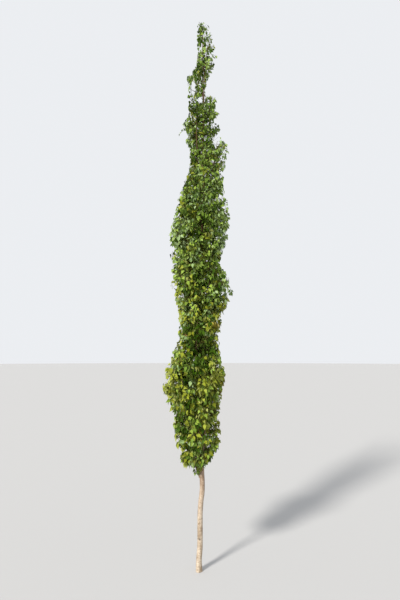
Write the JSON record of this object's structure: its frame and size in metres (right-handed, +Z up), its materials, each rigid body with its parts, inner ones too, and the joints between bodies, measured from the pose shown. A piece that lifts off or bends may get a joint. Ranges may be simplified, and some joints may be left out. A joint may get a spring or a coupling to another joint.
{
  "type": "columnar silver birch",
  "caption": "Young columnar birch tree: a slender pale trunk carries steep boughs and a narrow, dense column of small leaves from knee height to its tip.",
  "frame": {"origin": "centre of the flat cut under the trunk, at ground level, where the tree is fixed", "axes": "+Z up along the trunk; +X to the right and +Y away from the viewer in the reference view"},
  "size_m": [0.5549, 0.5765, 4.62],
  "materials": {
    "bark": "satin cream-white bark with dark scars low down, turning coppery brown towards the tip",
    "young_bark": "satin red-brown young bark with pale pores",
    "foliage": "soft green leaves on fine brown twigs"
  },
  "bodies": {
    "root": {"trunk": "bark", "bough_01": "young_bark", "bough_02": "young_bark", "bough_03": "young_bark", "bough_04": "young_bark", "bough_05": "young_bark", "bough_06": "young_bark", "bough_07": "young_bark", "bough_08": "young_bark", "bough_09": "young_bark", "bough_10": "young_bark", "bough_11": "young_bark", "bough_12": "young_bark", "bough_13": "young_bark", "bough_14": "young_bark", "bough_15": "young_bark", "bough_16": "young_bark", "bough_17": "young_bark", "bough_18": "young_bark", "bough_19": "young_bark", "bough_20": "young_bark", "bough_21": "young_bark", "bough_22": "young_bark", "bough_23": "young_bark", "foliage_01": "foliage", "foliage_02": "foliage", "foliage_03": "foliage", "foliage_04": "foliage", "foliage_05": "foliage", "foliage_06": "foliage", "foliage_07": "foliage", "foliage_08": "foliage", "foliage_09": "foliage", "foliage_10": "foliage", "foliage_11": "foliage", "foliage_12": "foliage", "foliage_13": "foliage", "foliage_14": "foliage", "foliage_15": "foliage", "foliage_16": "foliage", "foliage_17": "foliage", "foliage_18": "foliage", "foliage_19": "foliage", "foliage_20": "foliage", "foliage_21": "foliage", "foliage_22": "foliage", "foliage_23": "foliage", "foliage_24": "foliage", "foliage_25": "foliage", "foliage_26": "foliage", "foliage_27": "foliage"}
  },
  "joints": []
}
